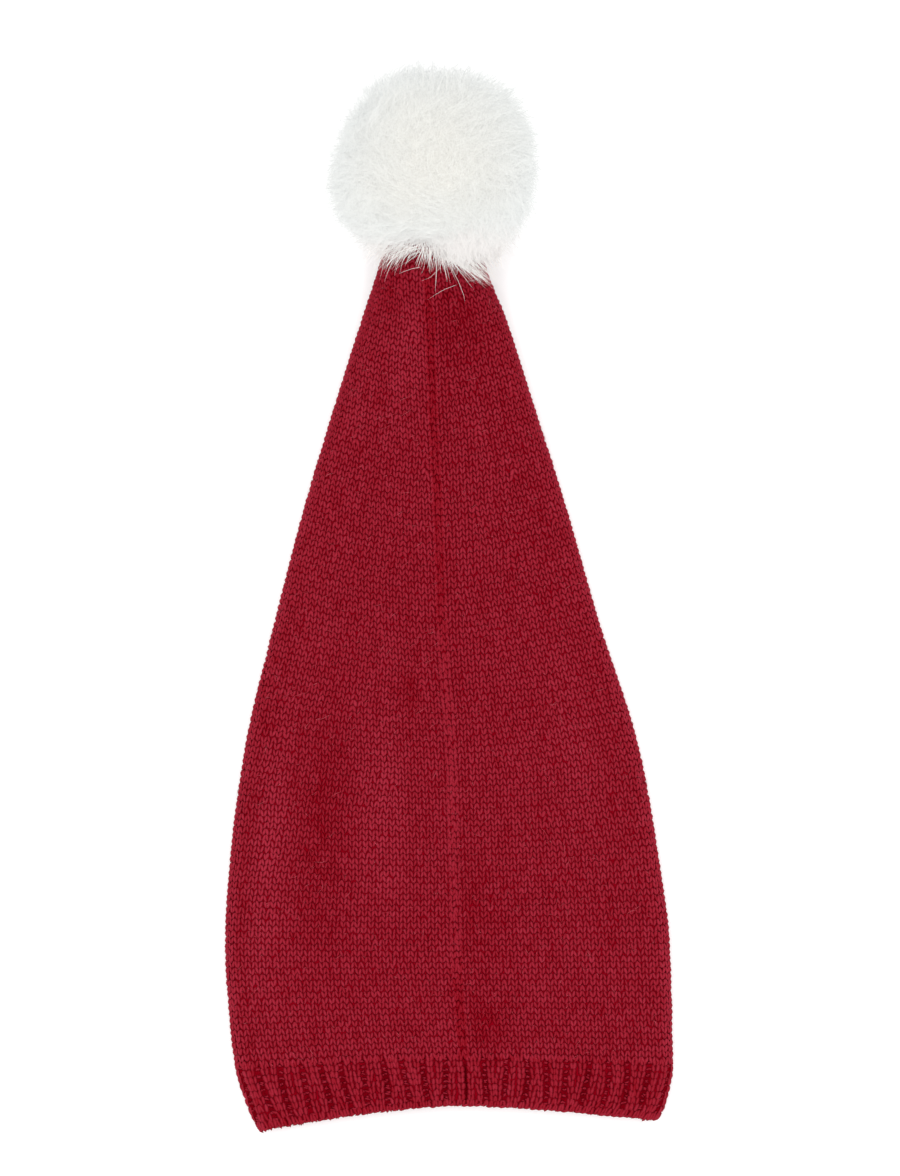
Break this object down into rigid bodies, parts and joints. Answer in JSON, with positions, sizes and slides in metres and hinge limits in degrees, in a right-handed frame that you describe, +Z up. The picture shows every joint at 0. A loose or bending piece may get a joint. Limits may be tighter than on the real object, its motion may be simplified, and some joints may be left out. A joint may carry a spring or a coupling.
{
  "type": "santa hat",
  "caption": "Red knitted santa hat lying flat: a long hollow stocking-stitch cone with a ribbed hem, a seam up its middle and a white fur pompom at the tip.",
  "frame": {"origin": "under the middle of the hat's box, on the surface that it lies on", "axes": "+Y along the hat from the hem to the pompom, +Z up from the surface, so the face with the seam looks up, and +X to the right of that face"},
  "size_m": [0.2218, 0.5284, 0.0954],
  "materials": {
    "knit_red": "matt wool-like knit",
    "fur_white": "soft long-haired fur",
    "thread_white": "twisted sewing thread"
  },
  "bodies": {
    "root": {"crown": "knit_red", "rib_band": "knit_red", "pompom": "fur_white", "pompom_tie": "thread_white"}
  },
  "joints": []
}
